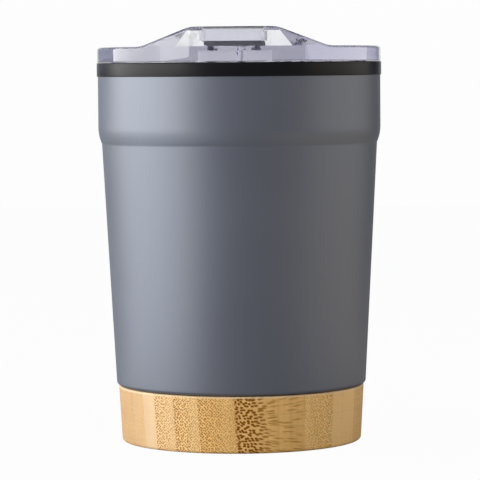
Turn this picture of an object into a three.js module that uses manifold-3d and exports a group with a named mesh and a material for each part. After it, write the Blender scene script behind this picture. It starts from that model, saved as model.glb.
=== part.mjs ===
// Double-walled travel mug: painted steel shell, steel liner, black rim collar, bamboo base
// and a clear press-in lid with a sliding tab. Millimetres, +Z up, standing plane at z = 0,
// mug axis on Z. The tab slides along Y and the drink hole is at the -Y side.
import * as THREE from 'three';
import { mergeVertices } from 'three/addons/utils/BufferGeometryUtils.js';
import Module from 'manifold-3d';

// Facets round every turned piece, the same for all so that nested walls stay parallel
const FACETS = 40;
const ARC_STEPS = 4;

// Bamboo base
const BASE_HEIGHT = 17;
const BASE_FLOOR = 5;
const BASE_WALL = 3.6;
const BASE_DRAFT = 0.85;
const BASE_SETBACK = 0.65;
const BASE_FOOT_ROUND = 1;
const BASE_TOP_ROUND = 0.4;

// Bond between the base and the shell
const BOND_THICKNESS = 1;
const BOND_SETBACK = 1.5;
const SEAM_GAP = 0.3;
const SPIGOT_CLEARANCE = 0.25;

// Outer shell
const SHELL_LOWER_RADIUS = 37.4;
const SHELL_BAND_RADIUS = 42.2;
const SHELL_TAPER_HEIGHT = 71.7;
const SHELL_BAND_HEIGHT = 20.1;
const SHOULDER_HEIGHT = 6;
const SHOULDER_STEP = 1.05;
const SHELL_CORNER = 1.6;
const SPIGOT_ROOT_ROUND = 0.8;
const SHELL_WALL = 0.5;

// Cap that closes the shell's lower end
const CAP_WALL = 0.6;
const CAP_RIM = 4;
const CAP_CORNER = 1.2;
const CAP_CLEARANCE = 0.1;

// Inner cup
const CUP_WALL = 0.5;
const CUP_CORNER = 7;
const CUP_STRAIGHT = 18;
const CUP_BOTTOM_GAP = 2.5;
const AIR_GAP_TOP = 2.4;
const AIR_GAP_LOW = 3.4;

// Rim collar
const COLLAR_HEIGHT = 4.1;
const COLLAR_PROUD = 0.3;
const COLLAR_LIP = 1.5;
const COLLAR_TONGUE = 6;
const COLLAR_EDGE = 0.4;
const COLLAR_CLEARANCE = 0.25;

// Lid rim and plug
const LID_SETBACK = 0.14;
const LID_SEAT_GAP = 0.1;
const LID_RIM_HEIGHT = 4.5;
const LID_EDGE = 0.4;
const PLATE_THICKNESS = 3.9;
const PLUG_DEPTH = 10;
const PLUG_WALL = 2;
const PLUG_CLEARANCE = 0.5;

// Lid hump, which runs from front to back
const HUMP_HEIGHT = 5.6;
const HUMP_FLAT_WIDTH = 21.6;
const HUMP_SLOPE = THREE.MathUtils.degToRad(20.7);
const HUMP_CREST_ROUND = 9;
const HUMP_TOE_ROUND = 8;

// Slider channel through the hump, wider at its floor than at its roof, and open between two lips
const CHANNEL_DEPTH = 5.6;
const CHANNEL_FLOOR_WIDTH = 33;
const CHANNEL_ROOF_WIDTH = 26;
const CHANNEL_LIP = 1.2;
const CHANNEL_END_WALL = 2.4;
const STOP_THICKNESS = 1.8;
const STOP_HEIGHT = 1.8;
const FLOOR_THICKNESS = 1.2;
const DRINK_HOLE_WIDTH = 14;
const DRINK_HOLE_LENGTH = 7.5;
const DRINK_HOLE_INSET = 5.8;
const DRINK_WELL_WIDTH = 20.8;
const DRINK_WELL_MARGIN = 6.4;
const VENT_DIAMETER = 2.4;
const VENT_SETBACK = 14;

// Slider tab
const SLIDER_LENGTH = 30;
const SLIDER_WIDTH = 17;
const SLIDER_TRAVEL = 16;
const SLIDER_FOOT_WIDTH = 19;
const SLIDER_TOP_DROP = 0.2;
const SLIDER_CLEARANCE = 0.25;
const SCOOP_RADIUS = 14;
const SCOOP_DEPTH = 0.5;
const SCOOP_SETBACK = 8;

// Silicone pieces
const GASKET_THICKNESS = 1.2;
const GASKET_MARGIN = 1.2;
const SEAL_GROOVE_DEPTH = 1;
const SEAL_HEIGHT = 4;
const SEAL_LIFT = 2.5;
const SEAL_LIPS = 2;
const SEAL_CLEARANCE = 0.1;

// Levels up the mug
const spigotZ = BASE_FLOOR + BOND_THICKNESS;
const shoulderZ = BASE_HEIGHT + SEAM_GAP;
const creaseZ = shoulderZ + SHELL_TAPER_HEIGHT;
const shellTopZ = creaseZ + SHELL_BAND_HEIGHT;
const collarTopZ = shellTopZ + COLLAR_HEIGHT;
const cupBottomZ = shoulderZ + CUP_BOTTOM_GAP;
const cupTopZ = collarTopZ - COLLAR_LIP;
const lidZ = collarTopZ + LID_SEAT_GAP;

// Radii out from the mug axis
const baseTopRadius = SHELL_LOWER_RADIUS - BASE_SETBACK;
const recessRadius = baseTopRadius - BASE_WALL;
const spigotRadius = recessRadius - SPIGOT_CLEARANCE;
const shellBoreRadius = SHELL_BAND_RADIUS - SHELL_WALL;
const cupTopRadius = shellBoreRadius - AIR_GAP_TOP;
const cupLowRadius = SHELL_LOWER_RADIUS - SHELL_WALL - AIR_GAP_LOW;
const cupBoreRadius = cupTopRadius - CUP_WALL;
const collarRadius = SHELL_BAND_RADIUS + COLLAR_PROUD;
const lidRadius = collarRadius - LID_SETBACK;
const plugRadius = cupBoreRadius - PLUG_CLEARANCE;
const plugBoreRadius = plugRadius - PLUG_WALL;
const sealGrooveRadius = plugRadius - SEAL_GROOVE_DEPTH;

// Levels and widths of the lid, measured from the underside of its rim
const humpTop = LID_RIM_HEIGHT + HUMP_HEIGHT;
const floorTop = humpTop - CHANNEL_DEPTH;
const floorBottom = floorTop - FLOOR_THICKNESS;
const plateBottom = LID_RIM_HEIGHT - PLATE_THICKNESS;
const footTop = CHANNEL_DEPTH - CHANNEL_LIP - SLIDER_CLEARANCE;
const channelEndRadius = lidRadius - CHANNEL_END_WALL;
const sliderFrontRadius = channelEndRadius - SLIDER_CLEARANCE;
const sliderFront = -sliderFrontRadius;
const sliderBack = sliderFront + SLIDER_LENGTH;
const stopFront = sliderBack + SLIDER_TRAVEL + SLIDER_CLEARANCE;
const channelHalf = SLIDER_WIDTH / 2 + SLIDER_CLEARANCE;
const sealBottom = SEAL_LIFT - PLUG_DEPTH;

const wasm = await Module();
wasm.setup();

const point = (across, up) => new THREE.Vector2(across, up);

// Points along a round corner, from one angle to another in radians
function arc(centreX, centreY, radius, from, to) {
  const points = [];
  for (let i = 0; i <= ARC_STEPS; i += 1) {
    const angle = THREE.MathUtils.lerp(from, to, i / ARC_STEPS);
    points.push(point(centreX + radius * Math.cos(angle), centreY + radius * Math.sin(angle)));
  }
  return points;
}

// The open outline moved to its left by one wall, with mitred corners
function offsetOutline(outline, wall) {
  const last = outline.length - 1;
  const leftOf = (from, to) => point(from.y - to.y, to.x - from.x).normalize();
  return outline.map((corner, i) => {
    const before = leftOf(outline[Math.max(i - 1, 0)], outline[Math.max(i, 1)]);
    const after = leftOf(outline[Math.min(i, last - 1)], outline[Math.min(i + 1, last)]);
    const mitre = before.clone().add(after).normalize();
    return corner.clone().addScaledVector(mitre, wall / mitre.dot(before));
  });
}

// A sheet-metal section: the outer outline and, back along its left side, the inner one
function sheetSection(outline, wall) {
  return [...outline, ...offsetOutline(outline, wall).reverse()];
}

const closed = (section) => [...section, section[0].clone()];

// A section turned about the Z axis; the section runs anticlockwise in radius and height
function turned(section) {
  return new THREE.LatheGeometry(section, FACETS).rotateX(Math.PI / 2);
}

// An X-Z outline carried along Y from the front value to the back value
function carriedAlongY(outline, front, back) {
  const shape = new THREE.Shape(outline);
  const settings = { depth: back - front, bevelEnabled: false };
  return new THREE.ExtrudeGeometry(shape, settings).rotateX(Math.PI / 2).translate(0, back, 0);
}

const rectangle = (left, right, bottom, top) =>
  [point(left, bottom), point(right, bottom), point(right, top), point(left, top)];

function solid(geometry) {
  const bare = geometry.clone();
  bare.deleteAttribute('normal');
  bare.deleteAttribute('uv');
  const merged = mergeVertices(bare);
  const corners = merged.index.array;
  const triangles = [];
  for (let i = 0; i < corners.length; i += 3) {
    const [a, b, c] = corners.slice(i, i + 3);
    if (a !== b && b !== c && c !== a) triangles.push(a, b, c);
  }
  return new wasm.Manifold(new wasm.Mesh({
    numProp: 3,
    vertProperties: new Float32Array(merged.attributes.position.array),
    triVerts: new Uint32Array(triangles),
  }));
}

function geometryOf(body) {
  const mesh = body.getMesh();
  const geometry = new THREE.BufferGeometry();
  geometry.setAttribute('position', new THREE.BufferAttribute(mesh.vertProperties, 3));
  geometry.setIndex(new THREE.BufferAttribute(mesh.triVerts, 1));
  geometry.computeVertexNormals();
  return geometry;
}

function piece(name, geometry, finish) {
  const mesh = new THREE.Mesh(geometry, new THREE.MeshStandardMaterial(finish));
  mesh.name = name;
  return mesh;
}

// Turned cup of laminated bamboo with a recess for the shell's spigot
function bambooBase() {
  const footRadius = baseTopRadius - BASE_DRAFT;
  const section = [
    point(0, 0),
    ...arc(footRadius - BASE_FOOT_ROUND, BASE_FOOT_ROUND, BASE_FOOT_ROUND, -Math.PI / 2, 0),
    ...arc(baseTopRadius - BASE_TOP_ROUND, BASE_HEIGHT - BASE_TOP_ROUND, BASE_TOP_ROUND, 0, Math.PI / 2),
    point(recessRadius + SPIGOT_ROOT_ROUND, BASE_HEIGHT),
    point(recessRadius, BASE_HEIGHT - SPIGOT_ROOT_ROUND),
    point(recessRadius, BASE_FLOOR),
    point(0, BASE_FLOOR),
  ];
  return piece('bamboo_base', turned(section), { color: 0xc89a5e, roughness: 0.6, metalness: 0 });
}

// Disc of adhesive between the recess floor and the shell's lower end
function baseBond() {
  const radius = spigotRadius - BOND_SETBACK;
  const section = rectangle(0, radius, BASE_FLOOR, spigotZ);
  return piece('base_bond', turned(section), { color: 0xd8d4c8, roughness: 0.7, metalness: 0 });
}

// Drawn steel shell: spigot, lower corner, tapered wall, crease, shoulder and upright band
function outerShell() {
  const shoulderRadius = (SHOULDER_HEIGHT ** 2 + SHOULDER_STEP ** 2) / (2 * SHOULDER_STEP);
  const shoulderAngle = Math.asin(SHOULDER_HEIGHT / shoulderRadius);
  const shoulderTopZ = creaseZ + SHOULDER_HEIGHT;
  const root = SPIGOT_ROOT_ROUND;
  const outline = [
    point(spigotRadius, spigotZ),
    ...arc(spigotRadius + root, shoulderZ - root, root, Math.PI, Math.PI / 2),
    ...arc(SHELL_LOWER_RADIUS - SHELL_CORNER, shoulderZ + SHELL_CORNER, SHELL_CORNER, -Math.PI / 2, 0),
    ...arc(SHELL_BAND_RADIUS - shoulderRadius, shoulderTopZ, shoulderRadius, -shoulderAngle, 0),
    point(SHELL_BAND_RADIUS, shellTopZ),
  ];
  const section = closed(sheetSection(outline, SHELL_WALL));
  return piece('outer_shell', turned(section), { color: 0x5d6069, roughness: 0.5, metalness: 0.1 });
}

// Pressed steel cap, its rim up inside the spigot's lower end
function shellCap() {
  const radius = spigotRadius - SHELL_WALL - CAP_CLEARANCE;
  const outline = [
    point(0, spigotZ),
    ...arc(radius - CAP_CORNER, spigotZ + CAP_CORNER, CAP_CORNER, -Math.PI / 2, 0),
    point(radius, spigotZ + CAP_RIM),
  ];
  const finish = { color: 0xb9bcc0, roughness: 0.35, metalness: 1 };
  return piece('shell_cap', turned(sheetSection(outline, CAP_WALL)), finish);
}

// Drawn steel liner: flat bottom, round corner, tapered wall and an upright part for the plug
function innerCup() {
  const outline = [
    point(0, cupBottomZ),
    ...arc(cupLowRadius - CUP_CORNER, cupBottomZ + CUP_CORNER, CUP_CORNER, -Math.PI / 2, 0),
    point(cupTopRadius, cupTopZ - CUP_STRAIGHT),
    point(cupTopRadius, cupTopZ),
  ];
  const finish = { color: 0xb9bcc0, roughness: 0.3, metalness: 1 };
  return piece('inner_cup', turned(sheetSection(outline, CUP_WALL)), finish);
}

// Black ring that covers both steel edges, with a tongue down between the two walls
function rimCollar() {
  const tongueOuter = shellBoreRadius - COLLAR_CLEARANCE;
  const tongueInner = cupTopRadius + COLLAR_CLEARANCE;
  const tongueZ = shellTopZ - COLLAR_TONGUE;
  const section = closed([
    point(cupBoreRadius, cupTopZ),
    point(tongueInner, cupTopZ),
    point(tongueInner, tongueZ),
    point(tongueOuter, tongueZ),
    point(tongueOuter, shellTopZ),
    point(collarRadius, shellTopZ),
    point(collarRadius, collarTopZ - COLLAR_EDGE),
    point(collarRadius - COLLAR_EDGE, collarTopZ),
    point(cupBoreRadius + COLLAR_EDGE, collarTopZ),
    point(cupBoreRadius, collarTopZ - COLLAR_EDGE),
  ]);
  return piece('rim_collar', turned(section), { color: 0x1b1b1d, roughness: 0.5, metalness: 0 });
}

// Right half of the hump's top, from its middle to its toe on the rim
function humpSide() {
  const flatHalf = HUMP_FLAT_WIDTH / 2;
  const rounds = HUMP_CREST_ROUND + HUMP_TOE_ROUND;
  const straightDrop = HUMP_HEIGHT - rounds * (1 - Math.cos(HUMP_SLOPE));
  const toe = flatHalf + rounds * Math.sin(HUMP_SLOPE) + straightDrop / Math.tan(HUMP_SLOPE);
  const quarter = Math.PI / 2;
  return [
    ...arc(flatHalf, humpTop - HUMP_CREST_ROUND, HUMP_CREST_ROUND, quarter, quarter - HUMP_SLOPE),
    ...arc(toe, LID_RIM_HEIGHT + HUMP_TOE_ROUND, HUMP_TOE_ROUND, -quarter - HUMP_SLOPE, -quarter),
  ];
}

// A whole outline from its right half, listed from the middle outwards, closed along one level
function mirroredOutline(side, level) {
  const right = [...side, point(side.at(-1).x, level)].reverse();
  const left = [...right].reverse().map((corner) => point(-corner.x, corner.y));
  return [...right, ...left];
}

// Rim and hump as one full block, cut round
function lidBlock() {
  const side = [...humpSide(), point(2 * lidRadius, LID_RIM_HEIGHT)];
  const ridge = carriedAlongY(mirroredOutline(side, 0), -2 * lidRadius, 2 * lidRadius);
  const round = turned([
    point(0, 0),
    point(lidRadius - LID_EDGE, 0),
    point(lidRadius, LID_EDGE),
    point(lidRadius, 2 * humpTop),
    point(0, 2 * humpTop),
  ]);
  return solid(ridge).intersect(solid(round));
}

// Plug below the rim, with the groove that holds the seal
function plugBlock() {
  const grooveTop = sealBottom + SEAL_HEIGHT;
  return solid(turned([
    point(0, -PLUG_DEPTH),
    point(plugRadius - LID_EDGE, -PLUG_DEPTH),
    point(plugRadius, LID_EDGE - PLUG_DEPTH),
    point(plugRadius, sealBottom),
    point(sealGrooveRadius, sealBottom),
    point(sealGrooveRadius, grooveTop),
    point(plugRadius, grooveTop),
    point(plugRadius, plateBottom),
    point(0, plateBottom),
  ]));
}

// Space under the lid: the plug's bore, up to the plate
const plugBore = () => solid(turned(rectangle(0, plugBoreRadius, -2 * PLUG_DEPTH, plateBottom)));

// A round block on the mug axis that reaches past the lid's top and bottom
const roundBlock = (radius) => solid(turned(rectangle(0, radius, -2 * PLUG_DEPTH, 2 * humpTop)));

// Undercut channel that the slider's foot runs in, and the slot between its lips. Its two ends
// follow the rim, so that the wall there has one thickness.
function channel() {
  const floor = CHANNEL_FLOOR_WIDTH / 2;
  const roof = point(CHANNEL_ROOF_WIDTH / 2, humpTop - CHANNEL_LIP);
  const section = [point(-floor, floorTop), point(floor, floorTop), roof, point(-roof.x, roof.y)];
  const slot = rectangle(-channelHalf, channelHalf, floorTop, 2 * humpTop);
  const under = solid(carriedAlongY(section, -lidRadius, lidRadius));
  const open = solid(carriedAlongY(slot, -lidRadius, lidRadius));
  return under.add(open).intersect(roundBlock(channelEndRadius));
}

// Bar across the channel floor that ends the slider's travel
function channelStop() {
  const half = CHANNEL_FLOOR_WIDTH / 2;
  const outline = rectangle(-half, half, floorBottom, floorTop + STOP_HEIGHT);
  return solid(carriedAlongY(outline, stopFront, stopFront + STOP_THICKNESS));
}

const drinkHoleY = sliderFront + DRINK_HOLE_INSET + DRINK_HOLE_LENGTH / 2;

// Pocket under the drink hole, from the plug's bore up to the channel floor
function drinkWell() {
  const half = DRINK_WELL_WIDTH / 2;
  const back = drinkHoleY + DRINK_HOLE_LENGTH / 2 + DRINK_WELL_MARGIN;
  const pocket = carriedAlongY(rectangle(-half, half, -PLUG_DEPTH, floorBottom), -lidRadius, back);
  return solid(pocket).intersect(roundBlock(plugBoreRadius));
}

// Oval hole through the channel floor, near the front edge
function drinkHole() {
  const end = DRINK_HOLE_LENGTH / 2;
  const reach = DRINK_HOLE_WIDTH / 2 - end;
  const shape = new THREE.Shape();
  shape.absarc(reach, 0, end, -Math.PI / 2, Math.PI / 2);
  shape.absarc(-reach, 0, end, Math.PI / 2, (3 * Math.PI) / 2);
  const settings = { depth: FLOOR_THICKNESS * 3, bevelEnabled: false, curveSegments: ARC_STEPS * 2 };
  const hole = new THREE.ExtrudeGeometry(shape, settings);
  return solid(hole.translate(0, drinkHoleY, floorBottom - FLOOR_THICKNESS));
}

// Air hole through the channel floor behind the stop
function ventHole() {
  const radius = VENT_DIAMETER / 2;
  const hole = new THREE.CylinderGeometry(radius, radius, 4 * humpTop, ARC_STEPS * 4).rotateX(Math.PI / 2);
  return solid(hole.translate(0, stopFront + VENT_SETBACK, 0));
}

function lidBody() {
  const body = lidBlock()
    .add(plugBlock())
    .subtract(plugBore())
    .subtract(drinkWell())
    .subtract(channel())
    .add(channelStop())
    .subtract(drinkHole())
    .subtract(ventHole());
  const finish = { color: 0xdfe1ea, roughness: 0.06, metalness: 0, transparent: true, opacity: 0.35 };
  return piece('lid_body', geometryOf(body), finish);
}

// Silicone ring in the plug's groove, with lips that wipe the cup
function lidSeal() {
  const inner = sealGrooveRadius + SEAL_CLEARANCE;
  const lipRadius = cupBoreRadius - SEAL_CLEARANCE;
  const bottom = sealBottom + SEAL_CLEARANCE;
  const pitch = (SEAL_HEIGHT - 2 * SEAL_CLEARANCE) / SEAL_LIPS;
  const section = [point(inner, bottom)];
  for (let i = 0; i < SEAL_LIPS; i += 1) {
    const lipZ = bottom + (i + 0.5) * pitch;
    section.push(point(plugRadius, lipZ - pitch / 2));
    section.push(point(lipRadius, lipZ));
  }
  section.push(point(plugRadius, bottom + SEAL_LIPS * pitch));
  section.push(point(inner, bottom + SEAL_LIPS * pitch));
  const finish = { color: 0xd9dadd, roughness: 0.6, metalness: 0 };
  return piece('lid_seal', turned(closed(section)), finish);
}

// Clear tab with a wide foot, a round front and a scoop for the thumb, measured from the channel floor
function slider() {
  const footBottom = SLIDER_CLEARANCE + GASKET_THICKNESS;
  const top = CHANNEL_DEPTH - SLIDER_TOP_DROP;
  const half = SLIDER_WIDTH / 2;
  const foot = SLIDER_FOOT_WIDTH / 2;
  const side = [point(half, top), point(half, footTop), point(foot, footTop)];
  const bar = carriedAlongY(mirroredOutline(side, footBottom), sliderFront, sliderBack);
  const scoop = new THREE.CylinderGeometry(SCOOP_RADIUS, SCOOP_RADIUS, SLIDER_FOOT_WIDTH * 2, FACETS)
    .rotateZ(Math.PI / 2)
    .translate(0, sliderBack - SCOOP_SETBACK, top - SCOOP_DEPTH + SCOOP_RADIUS);
  const finish = { color: 0xdfe1ea, roughness: 0.06, metalness: 0, transparent: true, opacity: 0.35 };
  const tab = solid(bar).intersect(roundBlock(sliderFrontRadius)).subtract(solid(scoop));
  return piece('lid_slider', geometryOf(tab), finish);
}

// Dark silicone pad under the slider, which closes the drink hole
function sliderGasket() {
  const half = SLIDER_FOOT_WIDTH / 2 - GASKET_MARGIN;
  const outline = rectangle(-half, half, SLIDER_CLEARANCE, SLIDER_CLEARANCE + GASKET_THICKNESS);
  const bar = carriedAlongY(outline, sliderFront, sliderBack - GASKET_MARGIN);
  const pad = solid(bar).intersect(roundBlock(sliderFrontRadius - GASKET_MARGIN));
  return piece('slider_gasket', geometryOf(pad), { color: 0x2b2c33, roughness: 0.7, metalness: 0 });
}

const sliderGroup = new THREE.Group();
sliderGroup.add(slider(), sliderGasket());
sliderGroup.position.z = floorTop;

const lid = new THREE.Group();
lid.add(lidBody(), lidSeal(), sliderGroup);
lid.position.z = lidZ;

const mug = new THREE.Group();
mug.add(bambooBase(), baseBond(), outerShell(), shellCap(), innerCup(), rimCollar(), lid);

export default mug;
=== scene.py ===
import math

import bmesh
import bpy
import numpy as np
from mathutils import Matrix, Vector


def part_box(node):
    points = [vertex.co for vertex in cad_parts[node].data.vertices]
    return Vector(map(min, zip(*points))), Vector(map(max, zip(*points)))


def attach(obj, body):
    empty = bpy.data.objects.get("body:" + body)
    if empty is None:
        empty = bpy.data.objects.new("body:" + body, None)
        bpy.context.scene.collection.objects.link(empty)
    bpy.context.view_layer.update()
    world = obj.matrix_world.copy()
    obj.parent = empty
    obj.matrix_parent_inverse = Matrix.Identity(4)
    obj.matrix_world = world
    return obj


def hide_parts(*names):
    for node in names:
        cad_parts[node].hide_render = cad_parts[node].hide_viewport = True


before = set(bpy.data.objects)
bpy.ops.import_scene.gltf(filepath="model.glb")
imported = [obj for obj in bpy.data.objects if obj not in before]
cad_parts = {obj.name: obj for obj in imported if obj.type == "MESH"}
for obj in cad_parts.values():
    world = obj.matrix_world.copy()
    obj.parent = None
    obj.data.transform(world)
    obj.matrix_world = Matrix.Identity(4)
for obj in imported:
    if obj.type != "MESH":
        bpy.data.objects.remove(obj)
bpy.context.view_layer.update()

# Bamboo base
# A cup turned from a block of upright bamboo strips glued side by side, sealed with a satin oil.
# The strips' fibres run from front to back, so the front shows their cut ends as dark dots.
MM = 0.001
base_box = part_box("bamboo_base")
SEAM_DROP = 0.25 * MM
BASE_DRAFT = 0.85 * MM
BASE_WALL = 3.6 * MM
BASE_TOP_RADIUS = base_box[1][0]
BASE_HEIGHT = base_box[1][2] - SEAM_DROP
BASE_FOOT_RADIUS = BASE_TOP_RADIUS - BASE_DRAFT
BASE_FOOT_ROUND = 1.0 * MM
BASE_TOP_ROUND = 0.45 * MM
BASE_RECESS_RADIUS = BASE_TOP_RADIUS - BASE_WALL
BASE_RECESS_BREAK = 0.8 * MM
BASE_FLOOR = 5.0 * MM
# Between these shares of the foot's radius the flat underside is divided into rings
BASE_UNDERSIDE = (0.2, 0.9)
# Facets round every turned surface, the turn in degrees past which an edge stays sharp, and the distance
# in metres within which points merge
AROUND = 256
SHARP_EDGE = 35
MERGE_GAP = 1e-7

# Each strip: its left edge in mm from the middle, its tone, the strength of its dots, the side of the
# strip, 0 left to 1 right, where they crowd, and how blond it is
BAMBOO_STRIPS = (
    (-40.0, 0.30, 0.20, 0.5, 0.10),
    (-34.2, 0.35, 0.25, 0.0, 0.10),
    (-31.3, 0.42, 0.25, 0.0, 0.25),
    (-27.9, 0.25, 0.10, 0.5, 0.75),
    (-24.3, 0.72, 0.90, 0.0, 0.45),
    (-18.4, 0.82, 1.00, 0.0, 0.25),
    (-11.2, 0.71, 0.95, 0.0, 0.00),
    (-0.3, 0.55, 0.00, 0.5, 0.00),
    (19.2, 0.95, 0.65, 1.0, 0.00),
    (27.3, 1.00, 0.10, 0.0, 0.15),
    (33.5, 0.60, 0.15, 0.5, 0.10),
)
# Patterns on the bamboo are laid out in mm: the strips reach this far to both sides of the middle, and
# lean about this height, by so much per mm on the left and by so much less over a stretch to the right
BAMBOO_SPAN = 40.0
BAMBOO_MIDDLE = 8.5
BAMBOO_LEAN = 0.075
BAMBOO_LEAN_LOSS = 0.11
BAMBOO_LEAN_STRETCH = (0.0, 26.0)
# The strips' edges wander a little. Across a strip a share runs from 0 to 1 and drops back within a hair,
# and each strip starts with a thin line of glue.
WANDER_SEED = 3.0
WANDER_WAVES = (0.03, 0.1)
WANDER_WIDTH = 0.8
STRIP_TURN = 0.0005
GLUE_WIDTH = 0.08
GLUE_STRENGTH = 0.35
# Noises in the wood: waves per mm along X, Y and Z, and detail. Every noise has the same mean.
NOISE_MEAN = 0.5
BAMBOO_RIPPLE = ((0.6, 0.0, 0.6), 2.0)
BAMBOO_CLOUD = ((0.25, 0.02, 0.12), 4.0)
BAMBOO_LINES = ((0.15, 0.02, 2.6), 3.0)
BAMBOO_BANDS = ((0.9, 0.0, 0.05), 2.0)
CLOUD_WEIGHT = 0.4
LINES_WEIGHT = 0.7
BANDS_WEIGHT = 0.6
# Fine dots: pitch along the two diagonals, in dots per mm, pull of the ripple, scatter, how much they thin
# out across a strip, and the distances at which a dot starts and ends to fade, with their growth in a crowd
FINE_DOT_PITCH = (1.04, 1.2)
FINE_DOT_RIPPLE = 1.2
FINE_DOT_SCATTER = 0.55
FINE_DOT_THINNING = 0.5
FINE_DOT_FADE = ((0.15, 0.08), (0.35, 0.15))
# Large dots: pitch across and up, slant of the rows, pull of the ripple, scatter, reach from their middles,
# which shrinks and pales over the faint stretch of X, fade within and past it, and where along X they rise
# and fall. Past the draw-out X counts for less and less, and the rows spread like a fan.
LARGE_DOT_PITCH = (0.95, 1.2)
LARGE_DOT_SLANT = 0.2
LARGE_DOT_RIPPLE = (0.8, 0.6)
LARGE_DOT_SCATTER = 0.75
LARGE_DOT_REACH = 0.44
LARGE_DOT_SHRINK = 0.22
LARGE_DOT_FADE = (0.16, 0.10)
LARGE_DOT_PALING = 0.45
LARGE_DOT_FAINT = (4.0, 13.0)
LARGE_DOT_ENDS = ((-0.5, 0.1), (15.0, 20.0))
DRAW_OUT = 4.5
DRAW_OUT_RATE = 0.25
DRAW_OUT_LENGTH = 3.4
FAN_RATE = 0.02
# Streaks: pitch along and up, pull of the ripple, scatter, fade, and where along X they rise and fall
STREAK_PITCH = (0.14, 1.35)
STREAK_RIPPLE = (0.3, 0.5)
STREAK_SCATTER = 0.8
STREAK_FADE = (0.08, 0.36)
STREAK_ENDS = ((8.0, 11.0), (17.0, 20.5))
STREAK_STRENGTH = 0.7
# Left of a stretch of X the wood gets a painted shade, and above a stretch of height the top edge gets a
# painted highlight
LEFT_SHADE_STRETCH = (-30.0, -25.0)
LEFT_SHADE_STRENGTH = 0.5
EDGE_HIGHLIGHT_STRETCH = (16.05, 16.3)
EDGE_HIGHLIGHT_STRENGTH = 0.6
# Roughness of the oiled wood, what a dot and the cloud add to it, and the height and strength of its bump
BAMBOO_ROUGHNESS = 0.45
DOT_ROUGHNESS = 0.15
CLOUD_ROUGHNESS = 0.15
BAMBOO_BUMP = (0.03 * MM, 0.3)
BAMBOO_PALE = (0.94, 0.59, 0.22, 1)
BAMBOO_DEEP = (0.58, 0.305, 0.075, 1)
BAMBOO_BLOND = (0.72, 0.535, 0.335, 1)
# Painted shade: the darker colour that the wood at the far left is mixed towards
BAMBOO_LEFT_SHADE = (0.445, 0.300, 0.200, 1)
# Painted highlight: the pale colour that the top edge of the base is painted with
BAMBOO_EDGE_HIGHLIGHT = (0.90, 0.68, 0.42, 1)
BAMBOO_FINE_DOT = (0.26, 0.095, 0.010, 1)
BAMBOO_LARGE_DOT = (0.225, 0.072, 0.0005, 1)
BAMBOO_STREAK = (0.40, 0.185, 0.025, 1)


def arc(centre, radius, start, end, steps=10):
    """Points of a round corner: centre plus radius times (cos, sin), between two angles in degrees."""
    angle = np.radians(np.linspace(start, end, steps + 1))
    return np.stack([centre[0] + radius * np.cos(angle), centre[1] + radius * np.sin(angle)], axis=1)


def line(start, end, steps=12):
    """Points of a straight stretch: the two ends mixed in equal steps."""
    share = np.linspace(0, 1, steps + 1)[:, None]
    return (1 - share) * np.array(start) + share * np.array(end)


def outline(*stretches):
    """Stretches of points, arrays or single points, one after another as one array."""
    return np.concatenate([np.atleast_2d(np.asarray(stretch, float)) for stretch in stretches])


def shade(mesh, sharp):
    """Smooth shading, apart from edges where the faces turn by more than an angle in degrees."""
    mesh.shade_smooth()
    mesh.set_sharp_from_angle(angle=math.radians(sharp))


def surface(name, points, loop_rows):
    """A closed mesh over a grid of points, rows by columns by xyz: each cell is one four-sided face.
    The columns join their last to their first, and so do rows that loop. Points that fall together merge."""
    rows, columns = points.shape[:2]
    number = np.arange(rows * columns).reshape(rows, columns)
    if loop_rows:
        number = np.concatenate([number, number[:1]], axis=0)
    number = np.concatenate([number, number[:, :1]], axis=1)
    corners = (number[:-1, :-1], number[:-1, 1:], number[1:, 1:], number[1:, :-1])
    faces = np.stack(corners, axis=-1).reshape(-1, 4)
    mesh = bpy.data.meshes.new(name)
    mesh.from_pydata(points.reshape(-1, 3).tolist(), [], faces.tolist())
    merged = bmesh.new()
    merged.from_mesh(mesh)
    bmesh.ops.remove_doubles(merged, verts=merged.verts, dist=MERGE_GAP)
    merged.to_mesh(mesh)
    merged.free()
    shade(mesh, SHARP_EDGE)
    piece = bpy.data.objects.new(name, mesh)
    bpy.context.collection.objects.link(piece)
    return piece


def turned(name, profile, closes=False):
    """A profile of (radius, height) turned about Z: radius r at angle a gives (r cos a, r sin a, height).
    The profile runs anticlockwise, and either starts and ends on the axis or closes on itself."""
    angle = np.linspace(0, 2 * np.pi, AROUND, endpoint=False)[None, :]
    radius, height = profile[:, :1], profile[:, 1:]
    points = np.stack([radius * np.cos(angle), radius * np.sin(angle), height + 0 * angle], axis=-1)
    return surface(name, points, closes)


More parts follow.
